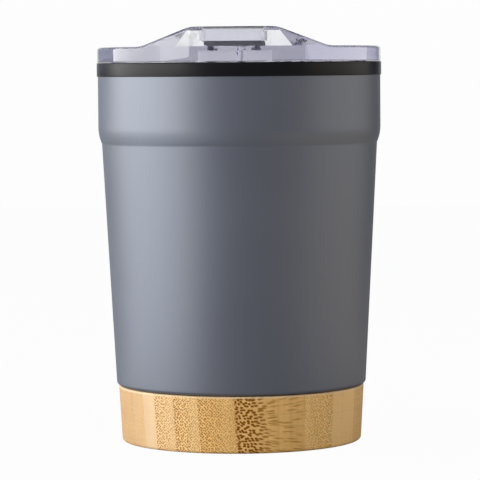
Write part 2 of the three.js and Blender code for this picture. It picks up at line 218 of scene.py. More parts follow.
class Wire:
    """One output of a material's nodes. Operators on wires and numbers add Math nodes."""

    def __init__(self, tree, socket=None):
        self.tree = tree
        self.socket = socket

    def node(self, kind, settings=None, inputs=None, output=0):
        """Adds a node of a kind, makes its settings, then feeds its inputs, and gives one output."""
        made = self.tree.nodes.new(kind)
        for name, value in (settings or {}).items():
            if name == "stops":
                ramp = made.color_ramp.elements
                while len(ramp) < len(value):
                    ramp.new(1.0)
                for element, (place, colour) in zip(ramp, value):
                    element.position = place
                    element.color = colour
            elif name == "interpolation":
                made.color_ramp.interpolation = value
            else:
                setattr(made, name, value)
        for key, value in (inputs or {}).items():
            if isinstance(value, Wire):
                self.tree.links.new(value.socket, made.inputs[key])
            else:
                made.inputs[key].default_value = value
        return Wire(self.tree, made.outputs[output])

    def math(self, operation, *others, clamp=False):
        """One Math node on this wire and the others, in that order."""
        settings = {"operation": operation, "use_clamp": clamp}
        return self.node("ShaderNodeMath", settings, dict(enumerate((self, *others))))

    def __add__(self, other):
        return self.math("ADD", other)

    def __sub__(self, other):
        return self.math("SUBTRACT", other)

    def __rsub__(self, other):
        return self.node("ShaderNodeMath", {"operation": "SUBTRACT"}, {0: other, 1: self})

    def __mul__(self, other):
        return self.math("MULTIPLY", other)

    def __truediv__(self, other):
        return self.math("DIVIDE", other)

    __radd__ = __add__
    __rmul__ = __mul__

    def between(self, low, high):
        """0 at or below one value, 1 at or above the other, and smooth in between."""
        inputs = {"Value": self, "From Min": low, "From Max": high, "To Min": 0.0, "To Max": 1.0}
        return self.node("ShaderNodeMapRange", {"interpolation_type": "SMOOTHSTEP"}, inputs)

    def inside(self, ends):
        """1 inside a stretch: it rises smoothly over the first pair of values and falls over the second."""
        rise, fall = ends
        return self.between(*rise) * (1 - self.between(*fall))

    def mix(self, first, second):
        """A colour that goes from the first to the second as this wire goes from 0 to 1. The colours are
        inputs 6 and 7 of the Mix node, and its output 2."""
        inputs = {"Factor": self, 6: first, 7: second}
        return self.node("ShaderNodeMix", {"data_type": "RGBA"}, inputs, 2)

    def place(self):
        """Object coordinates in millimetres, as three wires."""
        point = self.node("ShaderNodeTexCoord", output="Object")
        return [point.node("ShaderNodeSeparateXYZ", {}, {0: point}, axis) * (1 / MM) for axis in range(3)]

    def point(self, x, y, z):
        """Three wires or numbers as one point."""
        return self.node("ShaderNodeCombineXYZ", {}, {0: x, 1: y, 2: z})

    def noise(self, point, scale=1.0, detail=2.0):
        """Smooth noise at a point, with so many waves per unit and finer waves for the detail."""
        return self.node("ShaderNodeTexNoise", {}, {"Vector": point, "Scale": scale, "Detail": detail})

    def grain(self, place, waves, detail):
        """Noise about 0 that is drawn out: each axis has its own number of waves per millimetre."""
        x, y, z = [axis * count for axis, count in zip(place, waves)]
        return self.noise(self.point(x, y, z), detail=detail) - NOISE_MEAN

    def spots(self, across, up, scatter):
        """Distance to the nearest of many points, about one apart, scattered from 0, even, to 1, random."""
        settings = {"feature": "F1", "voronoi_dimensions": "2D"}
        inputs = {"Vector": self.point(across, up, 0.0), "Scale": 1.0, "Randomness": scatter}
        return self.node("ShaderNodeTexVoronoi", settings, inputs)

    def bump(self, distance, strength):
        """A surface direction tilted by this wire's slope, as if it raised the surface by the distance."""
        return self.node("ShaderNodeBump", {}, {"Height": self, "Distance": distance, "Strength": strength})


def finish(name, build, **constants):
    """A material: constants go on the surface shader's own sockets, and build(wire) gives what varies."""
    material = bpy.data.materials.new(name)
    material.use_nodes = True
    shader = material.node_tree.nodes["Principled BSDF"]
    for key, value in constants.items():
        shader.inputs[key.replace("_", " ")].default_value = value
    for key, wire in build(Wire(material.node_tree)).items():
        material.node_tree.links.new(wire.socket, shader.inputs[key])
    return material


def coat(piece, material):
    """Gives a piece one material all over."""
    piece.data.materials.clear()
    piece.data.materials.append(material)


def dress(piece, material, body, node):
    """Gives a piece its material, the body that it rides on and the solid that it stands for."""
    coat(piece, material)
    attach(piece, body)
    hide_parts(node)


def bamboo(wire):
    """Strips are bands of X that lean a little, and their fibres run along Y, so the patterns are drawn on
    X and Z alone: fine dots on slanting rows that crowd to one side of a strip, and large dots that draw
    out into dashes and long streaks, as X past a point counts for less and less."""
    place = wire.place()
    x, y, z = place
    up = z - BAMBOO_MIDDLE
    wander_place = wire.point(WANDER_SEED, y * WANDER_WAVES[0], z * WANDER_WAVES[1])
    wander = wire.noise(wander_place) - NOISE_MEAN
    lean = BAMBOO_LEAN - x.between(*BAMBOO_LEAN_STRETCH) * BAMBOO_LEAN_LOSS
    upright_x = x + up * lean + wander * WANDER_WIDTH
    across = (upright_x + BAMBOO_SPAN) / (2 * BAMBOO_SPAN)
    edges = [(strip[0] + BAMBOO_SPAN) / (2 * BAMBOO_SPAN) for strip in BAMBOO_STRIPS]
    kinds = [(edge, strip[1:]) for edge, strip in zip(edges, BAMBOO_STRIPS)]
    steps = {"stops": kinds, "interpolation": "CONSTANT"}
    kind = wire.node("ShaderNodeValToRGB", steps, {0: across})
    blond = wire.node("ShaderNodeValToRGB", steps, {0: across}, "Alpha")
    channels = [kind.node("ShaderNodeSeparateColor", {}, {0: kind}, channel) for channel in range(3)]
    tone, dots, side = channels
    saw = []
    for left, right in zip(edges, edges[1:] + [1.0]):
        saw += [(left, (0, 0, 0, 1)), (right - STRIP_TURN, (1, 1, 1, 1))]
    share = wire.node("ShaderNodeValToRGB", {"stops": saw}, {0: across})

    ripple = wire.grain(place, *BAMBOO_RIPPLE)
    crowd = dots * (1 - (share - side).math("ABSOLUTE") * FINE_DOT_THINNING)
    rising = (x + z) * FINE_DOT_PITCH[0] + ripple * FINE_DOT_RIPPLE
    fine = wire.spots(rising, (x - z) * FINE_DOT_PITCH[1], FINE_DOT_SCATTER)
    fade_start, fade_end = [start + crowd * growth for start, growth in FINE_DOT_FADE]
    fine_dot = (1 - fine.between(fade_start, fade_end)) * crowd

    past = (upright_x - DRAW_OUT).math("MAXIMUM", 0.0)
    near = upright_x.math("MINIMUM", DRAW_OUT) * LARGE_DOT_PITCH[0]
    drawn = near + (1 - (past * -DRAW_OUT_RATE).math("EXPONENT")) * DRAW_OUT_LENGTH
    fan = up * (1 - past * FAN_RATE)
    large = wire.spots(
        drawn + fan * LARGE_DOT_SLANT + ripple * LARGE_DOT_RIPPLE[0],
        fan * LARGE_DOT_PITCH[1] + ripple * LARGE_DOT_RIPPLE[1],
        LARGE_DOT_SCATTER,
    )
    faint = upright_x.between(*LARGE_DOT_FAINT)
    reach = LARGE_DOT_REACH - faint * LARGE_DOT_SHRINK
    inner, outer = LARGE_DOT_FADE
    large_dot = 1 - large.between(reach - inner, reach + outer)
    large_dot = large_dot * upright_x.inside(LARGE_DOT_ENDS) * (1 - faint * LARGE_DOT_PALING)
    long = wire.spots(
        x * STREAK_PITCH[0] + ripple * STREAK_RIPPLE[0],
        fan * STREAK_PITCH[1] + ripple * STREAK_RIPPLE[1],
        STREAK_SCATTER,
    )
    streak = (1 - long.between(*STREAK_FADE)) * upright_x.inside(STREAK_ENDS) * STREAK_STRENGTH

    cloud = wire.grain(place, *BAMBOO_CLOUD)
    lines = wire.grain(place, *BAMBOO_LINES)
    bands = wire.grain(place, *BAMBOO_BANDS)
    pale = tone + cloud * CLOUD_WEIGHT + lines * LINES_WEIGHT + bands * BANDS_WEIGHT
    wood = pale.math("ADD", 0.0, clamp=True).mix(BAMBOO_DEEP, BAMBOO_PALE)
    wood = blond.mix(wood, BAMBOO_BLOND)
    # Painted shade: left of a stretch of X the wood is painted darker
    dull = (1 - upright_x.between(*LEFT_SHADE_STRETCH)) * LEFT_SHADE_STRENGTH
    wood = dull.mix(wood, BAMBOO_LEFT_SHADE)
    glue = (1 - share.between(0.0, GLUE_WIDTH)) * GLUE_STRENGTH
    colour = fine_dot.math("MAXIMUM", glue).mix(wood, BAMBOO_FINE_DOT)
    colour = streak.mix(colour, BAMBOO_STREAK)
    colour = large_dot.mix(colour, faint.mix(BAMBOO_LARGE_DOT, BAMBOO_STREAK))
    # Painted highlight: above a stretch of height the top edge is painted paler
    painted_edge_highlight = z.between(*EDGE_HIGHLIGHT_STRETCH) * EDGE_HIGHLIGHT_STRENGTH
    colour = painted_edge_highlight.mix(colour, BAMBOO_EDGE_HIGHLIGHT)
    rough = BAMBOO_ROUGHNESS + large_dot * DOT_ROUGHNESS + cloud * CLOUD_ROUGHNESS
    return {"Base Color": colour, "Roughness": rough, "Normal": lines.bump(*BAMBOO_BUMP)}


base_profile = outline(
    (0, 0),
    line((BASE_FOOT_RADIUS * BASE_UNDERSIDE[0], 0), (BASE_FOOT_RADIUS * BASE_UNDERSIDE[1], 0)),
    arc((BASE_FOOT_RADIUS - BASE_FOOT_ROUND, BASE_FOOT_ROUND), BASE_FOOT_ROUND, -90, 0),
    line((BASE_FOOT_RADIUS, BASE_FOOT_ROUND), (BASE_TOP_RADIUS, BASE_HEIGHT - BASE_TOP_ROUND))[1:-1],
    arc((BASE_TOP_RADIUS - BASE_TOP_ROUND, BASE_HEIGHT - BASE_TOP_ROUND), BASE_TOP_ROUND, 0, 90, steps=5),
    (BASE_RECESS_RADIUS + BASE_RECESS_BREAK, BASE_HEIGHT),
    (BASE_RECESS_RADIUS, BASE_HEIGHT - BASE_RECESS_BREAK),
    (BASE_RECESS_RADIUS, BASE_FLOOR),
    (0, BASE_FLOOR),
)
bamboo_base = turned("bamboo_base_turned", base_profile)
bamboo_finish = finish("bamboo", bamboo, Specular_IOR_Level=0.12)
dress(bamboo_base, bamboo_finish, "mug", "bamboo_base")

# Adhesive bond
# A poured pad of pale adhesive in the bottom of the bamboo recess, under the steel shell.
# It is out of sight once the base is on, so the plain solid is shown with an uneven finish.
BOND_COLOUR = ((0.62, 0.58, 0.48, 1), (0.74, 0.71, 0.62, 1))
# In this finish and the next ones a noise is given by its waves per mm and its detail, a roughness by its
# base and what each noise adds, and a bump by its height and strength
BOND_MOTTLE = (0.25, 4.0)
BOND_ROUGHNESS = (0.5, 0.3)
BOND_BUMP = (0.3 * MM, 1.0)


def adhesive(wire):
    """One slow noise sets the tone, the roughness and the unevenness together."""
    mottle = wire.noise(wire.point(*wire.place()), *BOND_MOTTLE)
    base, with_mottle = BOND_ROUGHNESS
    return {
        "Base Color": mottle.mix(*BOND_COLOUR),
        "Roughness": base + mottle * with_mottle,
        "Normal": mottle.bump(*BOND_BUMP),
    }


coat(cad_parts["base_bond"], finish("adhesive", adhesive))

# Outer shell
# Thin stainless steel, drawn and necked in at its lower end to fit the base, with a rolled crease
# and shoulder under the rim band. It is sprayed with a satin slate-grey paint.
shell_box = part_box("outer_shell")
SEAM_GAP = 0.25 * MM
SPIGOT_PLAY = 0.25 * MM
SHELL_OVERHANG = 0.65 * MM
SHELL_BAND_RADIUS = shell_box[1][0]
SHELL_TOP = shell_box[1][2]
SHELL_BOTTOM = shell_box[0][2]
SHELL_SHOULDER = BASE_HEIGHT + SEAM_GAP
SHELL_LOWER_RADIUS = BASE_TOP_RADIUS + SHELL_OVERHANG
CREASE_RADIUS = 41.15 * MM
CREASE_RISE = 72.15 * MM
SHELL_CREASE = (CREASE_RADIUS, SHELL_SHOULDER + CREASE_RISE)
SHELL_CORNER = 1.0 * MM
SHELL_WALL = 0.5 * MM
SHOULDER_HEIGHT = 4.9 * MM
CREASE_EASE = 0.3 * MM
SPIGOT_RADIUS = BASE_RECESS_RADIUS - SPIGOT_PLAY
SPIGOT_ROOT = 0.8 * MM
PAINT_COLOUR = ((0.140, 0.149, 0.174, 1), (0.157, 0.168, 0.195, 1))
PAINT_CLOUD = (0.06, 2.0)
PAINT_SPECK = (6.0, 1.0)
PAINT_PEEL = (1.6, 2.0)
PAINT_CLOUD_SHARE = 0.6
PAINT_SPECK_SHARE = 0.4
PAINT_ROUGHNESS = (0.47, 0.06, 0.05)
PAINT_BUMP = (0.02 * MM, 0.35)


def sheet(outer, wall):
    """A sheet-metal section: the outer points, then back along the same points moved left by the wall.
    The way to the left is the mean direction of the two stretches at a point, turned a quarter."""
    along = np.gradient(outer, axis=0)
    along /= np.linalg.norm(along, axis=1, keepdims=True)
    left = np.stack([-along[:, 1], along[:, 0]], axis=1)
    return np.concatenate([outer, (outer + wall * left)[::-1]])


def paint(wire):
    """Fine spray mottle: a soft cloud in the colour and a slight orange peel in the surface."""
    here = wire.point(*wire.place())
    cloud = wire.noise(here, *PAINT_CLOUD)
    speck = wire.noise(here, *PAINT_SPECK)
    peel = wire.noise(here, *PAINT_PEEL)
    colour = (cloud * PAINT_CLOUD_SHARE + speck * PAINT_SPECK_SHARE).mix(*PAINT_COLOUR)
    base, with_cloud, with_speck = PAINT_ROUGHNESS
    rough = base + (cloud - NOISE_MEAN) * with_cloud + (speck - NOISE_MEAN) * with_speck
    return {"Base Color": colour, "Roughness": rough, "Normal": peel.bump(*PAINT_BUMP)}


shoulder_step = SHELL_BAND_RADIUS - SHELL_CREASE[0]
shoulder_radius = (SHOULDER_HEIGHT**2 + shoulder_step**2) / (2 * shoulder_step)
shoulder_angle = math.degrees(math.asin(SHOULDER_HEIGHT / shoulder_radius))
shoulder_top = SHELL_CREASE[1] + SHOULDER_HEIGHT
shoulder_centre = (SHELL_BAND_RADIUS - shoulder_radius, shoulder_top)
wall_foot = (SHELL_LOWER_RADIUS, SHELL_SHOULDER + SHELL_CORNER)
wall_run = np.array(SHELL_CREASE) - wall_foot
crease_start = SHELL_CREASE - CREASE_EASE * wall_run / np.linalg.norm(wall_run)
shell_outer = outline(
    line((SPIGOT_RADIUS, SHELL_BOTTOM), (SPIGOT_RADIUS, SHELL_SHOULDER - SPIGOT_ROOT), steps=4)[:-1],
    arc((SPIGOT_RADIUS + SPIGOT_ROOT, SHELL_SHOULDER - SPIGOT_ROOT), SPIGOT_ROOT, 180, 90, steps=6),
    arc((SHELL_LOWER_RADIUS - SHELL_CORNER, SHELL_SHOULDER + SHELL_CORNER), SHELL_CORNER, -90, 0),
    line(wall_foot, crease_start, steps=40)[1:],
    arc(shoulder_centre, shoulder_radius, -shoulder_angle, 0, steps=16),
    line((SHELL_BAND_RADIUS, shoulder_top), (SHELL_BAND_RADIUS, SHELL_TOP))[1:],
)
outer_shell = turned("outer_shell_painted", sheet(shell_outer, SHELL_WALL), closes=True)
paint_finish = finish("grey_paint", paint, Metallic=0.7, Specular_IOR_Level=0.42)
dress(outer_shell, paint_finish, "mug", "outer_shell")

# Shell cap
# A pressed steel cap pushed up into the shell's lower end and welded round.
# The bond and the base hide it, so the plain solid is shown with the steel finish.
STEEL_COLOUR = ((0.50, 0.50, 0.51, 1), (0.62, 0.62, 0.63, 1))
STEEL_RINGS = (5.0, 3.0)
STEEL_HAZE = (0.12, 2.0)
STEEL_ROUGHNESS = (0.24, 0.14, 0.06)
STEEL_BUMP = (0.01 * MM, 0.5)


def spun_steel(wire):
    """Fine rings: noise on the distance from the axis and on the height, drawn out round the axis."""
    x, y, z = wire.place()
    radius = (x * x + y * y).math("SQRT")
    rings = wire.noise(wire.point(radius, z, 0.0), *STEEL_RINGS)
    haze = wire.noise(wire.point(x, y, z), *STEEL_HAZE)
    base, with_rings, with_haze = STEEL_ROUGHNESS
    rough = base + rings * with_rings + haze * with_haze
    return {"Base Color": rings.mix(*STEEL_COLOUR), "Roughness": rough, "Normal": rings.bump(*STEEL_BUMP)}


steel_finish = finish("satin_steel", spun_steel, Metallic=1.0)
coat(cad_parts["shell_cap"], steel_finish)

# Inner cup
# The liner that holds the drink, drawn from thin stainless steel: flat bottom, round corner, tapered
# wall. Its upright top goes up into the collar, and air lies between it and the shell.
cup_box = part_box("inner_cup")
AIR_GAP = 3.4 * MM
CUP_TOP_RADIUS = cup_box[1][0]
CUP_BOTTOM, CUP_TOP = cup_box[0][2], cup_box[1][2]
CUP_LOW_RADIUS = SHELL_LOWER_RADIUS - SHELL_WALL - AIR_GAP
CUP_CORNER = 7.0 * MM
CUP_STRAIGHT = 18.0 * MM
CUP_WALL = 0.5 * MM

straight_foot = (CUP_TOP_RADIUS, CUP_TOP - CUP_STRAIGHT)
cup_outer = outline(
    line((0, CUP_BOTTOM), (CUP_LOW_RADIUS - CUP_CORNER, CUP_BOTTOM), steps=6)[:-1],
    arc((CUP_LOW_RADIUS - CUP_CORNER, CUP_BOTTOM + CUP_CORNER), CUP_CORNER, -90, 0, steps=16),
    line((CUP_LOW_RADIUS, CUP_BOTTOM + CUP_CORNER), straight_foot, steps=20)[1:],
    line(straight_foot, (CUP_TOP_RADIUS, CUP_TOP), steps=6)[1:],
)
cup_profile = sheet(cup_outer, CUP_WALL)
cup_profile[-1, 0] = 0
inner_cup = turned("inner_cup_drawn", cup_profile)
dress(inner_cup, steel_finish, "mug", "inner_cup")

# Rim collar
# A black moulded ring with a satin skin. It covers both steel edges, and a tongue on its underside
# goes down between the two walls.
collar_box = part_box("rim_collar")
COLLAR_RADIUS = collar_box[1][0]
COLLAR_TOP = collar_box[1][2]
COLLAR_TONGUE = collar_box[0][2]
COLLAR_BORE = CUP_TOP_RADIUS - CUP_WALL
COLLAR_ROUND = 0.4 * MM
COLLAR_LOWER_ROUND = 0.25 * MM
COLLAR_PLAY = 0.25 * MM
BLACK_COLOUR = ((0.0030, 0.0029, 0.0032, 1), (0.0050, 0.0048, 0.0053, 1))
BLACK_GRAIN = (5.0, 2.0)
BLACK_CLOUD = (0.1, 2.0)
BLACK_ROUGHNESS = (0.34, 0.10, 0.06)
BLACK_BUMP = (0.02 * MM, 0.4)


def black_plastic(wire):
    """A spark-eroded mould skin: very fine noise in the surface and in its roughness."""
    here = wire.point(*wire.place())
    grain = wire.noise(here, *BLACK_GRAIN)
    cloud = wire.noise(here, *BLACK_CLOUD)
    base, with_grain, with_cloud = BLACK_ROUGHNESS
    rough = base + (grain - NOISE_MEAN) * with_grain + (cloud - NOISE_MEAN) * with_cloud
    return {"Base Color": cloud.mix(*BLACK_COLOUR), "Roughness": rough, "Normal": grain.bump(*BLACK_BUMP)}


tongue_outer = SHELL_BAND_RADIUS - SHELL_WALL - COLLAR_PLAY
tongue_inner = CUP_TOP_RADIUS + COLLAR_PLAY
lower_centre = (COLLAR_RADIUS - COLLAR_LOWER_ROUND, SHELL_TOP + COLLAR_LOWER_ROUND)
collar_profile = outline(
    (COLLAR_BORE, CUP_TOP),
    (tongue_inner, CUP_TOP),
    (tongue_inner, COLLAR_TONGUE),
    (tongue_outer, COLLAR_TONGUE),
    (tongue_outer, SHELL_TOP),
    arc(lower_centre, COLLAR_LOWER_ROUND, -90, 0, steps=5),
    arc((COLLAR_RADIUS - COLLAR_ROUND, COLLAR_TOP - COLLAR_ROUND), COLLAR_ROUND, 0, 90, steps=6),
    arc((COLLAR_BORE + COLLAR_ROUND, COLLAR_TOP - COLLAR_ROUND), COLLAR_ROUND, 90, 180, steps=6),
)
rim_collar = turned("rim_collar_moulded", collar_profile, closes=True)
black_finish = finish("black_plastic", black_plastic, Specular_IOR_Level=0.18)
dress(rim_collar, black_finish, "mug", "rim_collar")

# Lid body
# One clear moulding: a thick rim that sits on the collar, a plug that goes down into the cup, and a
# hump from front to back with an undercut channel in it for the slider.
lid_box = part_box("lid_body")
slider_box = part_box("lid_slider")
LID_SEAT_GAP = 0.1 * MM
LID_RADIUS = lid_box[1][0]
LID_UNDER = COLLAR_TOP + LID_SEAT_GAP
LID_TOP = lid_box[1][2]
LID_EDGE = 0.9 * MM
LID_TOP_RINGS = 72
RIM_HEIGHT = 4.5 * MM
RIM_TOP = LID_UNDER + RIM_HEIGHT
RIM_ROUND = 0.35 * MM
PLATE = 3.9 * MM
PLATE_UNDER = RIM_TOP - PLATE
PLUG_PLAY = 0.5 * MM
PLUG_WALL = 2.0 * MM
PLUG_BOTTOM = lid_box[0][2]
PLUG_RADIUS = COLLAR_BORE - PLUG_PLAY
PLUG_BORE = PLUG_RADIUS - PLUG_WALL
SEAL_LIFT = 2.5 * MM
SEAL_GROOVE_HEIGHT = 4.0 * MM
SEAL_GROOVE_DEPTH = 1.0 * MM
SEAL_GROOVE_RADIUS = PLUG_RADIUS - SEAL_GROOVE_DEPTH
SEAL_GROOVE_LOW = PLUG_BOTTOM + SEAL_LIFT
SEAL_GROOVE_HIGH = SEAL_GROOVE_LOW + SEAL_GROOVE_HEIGHT
# The hump: half of its flat top, its slope in degrees, the rounds at its crest and toe, and their steps
HUMP_FLAT = 10.8 * MM
HUMP_SLOPE = 20.7
CREST_ROUND = 9.0 * MM
TOE_ROUND = 8.0 * MM
HUMP_STEPS = 24
# The channel is wider at its floor than at its roof, and open at the top between two lips
CHANNEL_DEPTH = 5.6 * MM
CHANNEL_FLOOR = LID_TOP - CHANNEL_DEPTH
CHANNEL_FLOOR_HALF = 16.5 * MM
CHANNEL_ROOF_HALF = 13.0 * MM
CHANNEL_LIP = 1.2 * MM
FLOOR_THICKNESS = 1.2 * MM
FLOOR_UNDER = CHANNEL_FLOOR - FLOOR_THICKNESS
SLIDER_PLAY = 0.25 * MM
SLIDER_FRONT, SLIDER_BACK = slider_box[0][1], slider_box[1][1]
SLIDER_HALF = 8.5 * MM
SLIDER_TRAVEL = 16.0 * MM
CHANNEL_END_RADIUS = SLIDER_PLAY - SLIDER_FRONT
STOP_FRONT = SLIDER_BACK + SLIDER_TRAVEL + SLIDER_PLAY
STOP_THICKNESS = 1.8 * MM
STOP_HEIGHT = 1.8 * MM
# The drink hole lies near the front of the channel, over a well that is open to the cup
HOLE_INSET = 5.8 * MM
HOLE_HALF_WIDTH = 7.0 * MM
HOLE_HALF_LENGTH = 3.75 * MM
HOLE_Y = SLIDER_FRONT + HOLE_INSET + HOLE_HALF_LENGTH
WELL_HALF = 10.4 * MM
WELL_MARGIN = 6.4 * MM
WELL_BACK = HOLE_Y + HOLE_HALF_LENGTH + WELL_MARGIN
VENT_RADIUS = 1.2 * MM
VENT_SETBACK = 14.0 * MM
VENT_Y = STOP_FRONT + VENT_SETBACK
# Cutting shapes end out here, past the lid
BEYOND = 2 * LID_RADIUS
BELOW_LID = PLUG_BOTTOM - PLATE
ABOVE_LID = LID_TOP + 2 * PLATE
ALONG_X, ALONG_Y, ALONG_Z = range(3)
CLEAR_SHARP_EDGE = 30
CLEAR_TINT = ((0.97, 0.97, 0.985, 1), (0.99, 0.99, 0.995, 1))
CLEAR_FLOW = (0.18, 2.0)
CLEAR_HAZE = (0.9, 3.0)
CLEAR_HAZE_EDGE = (0.5, 0.8)
CLEAR_ROUGHNESS = (0.02, 0.05)
CLEAR_BUMP = (0.15 * MM, 0.3)
CLEAR_INDEX = 1.57
DEPTH_TINT = {"Color": (0.46, 0.455, 0.57, 1), "Density": 22.0}
CLEAR_BOUNCES = 32


def carried(name, ring, start, end, axis):
    """A closed ring of points on two axes, carried straight along the third from one value to another and
    closed at both ends by faces that meet at its middle. The ring runs anticlockwise as seen from +X, from
    -Y or from +Z."""
    middle = 0 * ring + ring.mean(axis=0)
    stations = ((start, middle), (start, ring), (end, ring), (end, middle))
    rows = np.stack([np.insert(points, axis, level, axis=1) for level, points in stations])
    return surface(name, rows[::-1] if axis == ALONG_Y else rows, False)


def mirrored(side):
    """A whole section from its right half, listed upwards from the foot to the middle."""
    return np.concatenate([side, side[::-1] * (-1, 1)])


def post(name, radius, low, high):
    """A plain round post on the mug's axis."""
    return turned(name, outline((0, low), (radius, low), (radius, high), (0, high)))


def settle(piece):
    """Makes a piece's modifiers part of its mesh."""
    graph = bpy.context.evaluated_depsgraph_get()
    made = bpy.data.meshes.new_from_object(piece.evaluated_get(graph))
    piece.modifiers.clear()
    piece.data = made


def combine(piece, operation, *tools):
    """Joins closed surfaces to a piece, or cuts them out of it, and removes them."""
    for tool in tools:
        change = piece.modifiers.new("combine", "BOOLEAN")
        change.operation = operation
        change.solver = "EXACT"
        change.object = tool
        settle(piece)
        bpy.data.objects.remove(tool)


def within(radius, name, section, front, back):
    """A section of (x, z) carried along Y, kept inside a radius about the mug's axis."""
    space = carried(name, section, front, back, ALONG_Y)
    combine(space, "INTERSECT", post("round", radius, BELOW_LID, ABOVE_LID))
    return space


hump_height = LID_TOP - RIM_TOP
slope = math.radians(HUMP_SLOPE)
straight_drop = hump_height - (CREST_ROUND + TOE_ROUND) * (1 - math.cos(slope))
toe = HUMP_FLAT + (CREST_ROUND + TOE_ROUND) * math.sin(slope) + straight_drop / math.tan(slope)
hump_side = outline(
    arc((HUMP_FLAT, LID_TOP - CREST_ROUND), CREST_ROUND, 90, 90 - HUMP_SLOPE, HUMP_STEPS),
    arc((toe, RIM_TOP + TOE_ROUND), TOE_ROUND, -90 - HUMP_SLOPE, -90, HUMP_STEPS),
)


def domed(name, under, over):
    """The lid's outside: rows go out along the underside, up the wall and back in over the top. Underside
    and wall are turned as a profile is. Over the top the height is the hump's at that X, less the drop of
    a quarter round at the edge."""
    angle = np.linspace(0, 2 * np.pi, AROUND, endpoint=False)[None, :]
    radius = np.concatenate([under[:, 0], over[:, 0]])[:, None]
    x, y = radius * np.cos(angle), radius * np.sin(angle)
    z = np.concatenate([under[:, 1], over[:, 1]])[:, None] + 0 * angle
    z[len(under):] += np.interp(np.abs(x[len(under):]), hump_side[:, 0], hump_side[:, 1])
    return surface(name, np.stack([x, y, z], axis=-1), False)


lid_under = outline(
    (0, LID_UNDER),
    arc((LID_RADIUS - RIM_ROUND, LID_UNDER + RIM_ROUND), RIM_ROUND, -90, 0, steps=6),
)
lid_over = outline(
    arc((LID_RADIUS - LID_EDGE, -LID_EDGE), LID_EDGE, 0, 90, steps=8),
    line((LID_RADIUS - LID_EDGE, 0), (0, 0), LID_TOP_RINGS)[1:],
)
lid_body = domed("lid_body_clear", lid_under, lid_over)
plug_profile = outline(
    (0, PLUG_BOTTOM),
    arc((PLUG_RADIUS - RIM_ROUND, PLUG_BOTTOM + RIM_ROUND), RIM_ROUND, -90, 0, steps=4),
    (PLUG_RADIUS, SEAL_GROOVE_LOW),
    (SEAL_GROOVE_RADIUS, SEAL_GROOVE_LOW),
    (SEAL_GROOVE_RADIUS, SEAL_GROOVE_HIGH),
    (PLUG_RADIUS, SEAL_GROOVE_HIGH),
    (PLUG_RADIUS, PLATE_UNDER),
    (0, PLATE_UNDER),
)
combine(lid_body, "UNION", turned("plug", plug_profile))

bore = post("bore", PLUG_BORE, BELOW_LID, PLATE_UNDER)
well_side = outline((WELL_HALF, PLUG_BOTTOM), (WELL_HALF, FLOOR_UNDER))
well = within(PLUG_BORE, "well", mirrored(well_side), -BEYOND, WELL_BACK)
combine(lid_body, "DIFFERENCE", bore, well)

channel_side = outline((CHANNEL_FLOOR_HALF, CHANNEL_FLOOR), (CHANNEL_ROOF_HALF, LID_TOP - CHANNEL_LIP))
channel = within(CHANNEL_END_RADIUS, "channel", mirrored(channel_side), -BEYOND, BEYOND)
slot_half = SLIDER_HALF + SLIDER_PLAY
slot_side = outline((slot_half, CHANNEL_FLOOR + FLOOR_THICKNESS), (slot_half, LID_TOP + PLATE))
slot = within(CHANNEL_END_RADIUS, "slot", mirrored(slot_side), -BEYOND, BEYOND)
combine(lid_body, "DIFFERENCE", channel, slot)

stop_top = CHANNEL_FLOOR + STOP_HEIGHT
stop_side = outline((CHANNEL_FLOOR_HALF, FLOOR_UNDER), (CHANNEL_FLOOR_HALF, stop_top))
stop = carried("stop", mirrored(stop_side), STOP_FRONT, STOP_FRONT + STOP_THICKNESS, ALONG_Y)
combine(lid_body, "UNION", stop)

hole_reach = HOLE_HALF_WIDTH - HOLE_HALF_LENGTH
hole_plan = outline(
    arc((hole_reach, HOLE_Y), HOLE_HALF_LENGTH, -90, 90, steps=24),
    arc((-hole_reach, HOLE_Y), HOLE_HALF_LENGTH, 90, 270, steps=24),
)
drink_hole = carried("drink_hole", hole_plan, PLATE_UNDER, CHANNEL_FLOOR + PLATE, ALONG_Z)
vent_plan = arc((0, VENT_Y), VENT_RADIUS, 0, 360, steps=32)[:-1]
vent = carried("vent", vent_plan, PLUG_BOTTOM, LID_TOP + PLATE, ALONG_Z)
combine(lid_body, "DIFFERENCE", drink_hole, vent)
shade(lid_body.data, CLEAR_SHARP_EDGE)


def clear_plastic(wire):
    """Clear moulding: faint flow waves in the surface and a little haze from handling."""
    here = wire.point(*wire.place())
    flow = wire.noise(here, *CLEAR_FLOW)
    haze = wire.noise(here, *CLEAR_HAZE)
    base, with_haze = CLEAR_ROUGHNESS
    rough = base + haze.between(*CLEAR_HAZE_EDGE) * with_haze
    return {"Base Color": flow.mix(*CLEAR_TINT), "Roughness": rough, "Normal": flow.bump(*CLEAR_BUMP)}


clear_finish = finish("clear_plastic", clear_plastic, Transmission_Weight=1.0, IOR=CLEAR_INDEX)
clear_tree = clear_finish.node_tree
depth_tint = Wire(clear_tree).node("ShaderNodeVolumeAbsorption", {}, DEPTH_TINT)
clear_tree.links.new(depth_tint.socket, clear_tree.nodes["Material Output"].inputs["Volume"])
dress(lid_body, clear_finish, "lid", "lid_body")
# Light that turns about inside the clear pieces spends a bounce at each face, so it needs many
for kind in ("max", "glossy", "transmission"):
    setattr(bpy.context.scene.cycles, kind + "_bounces", CLEAR_BOUNCES)

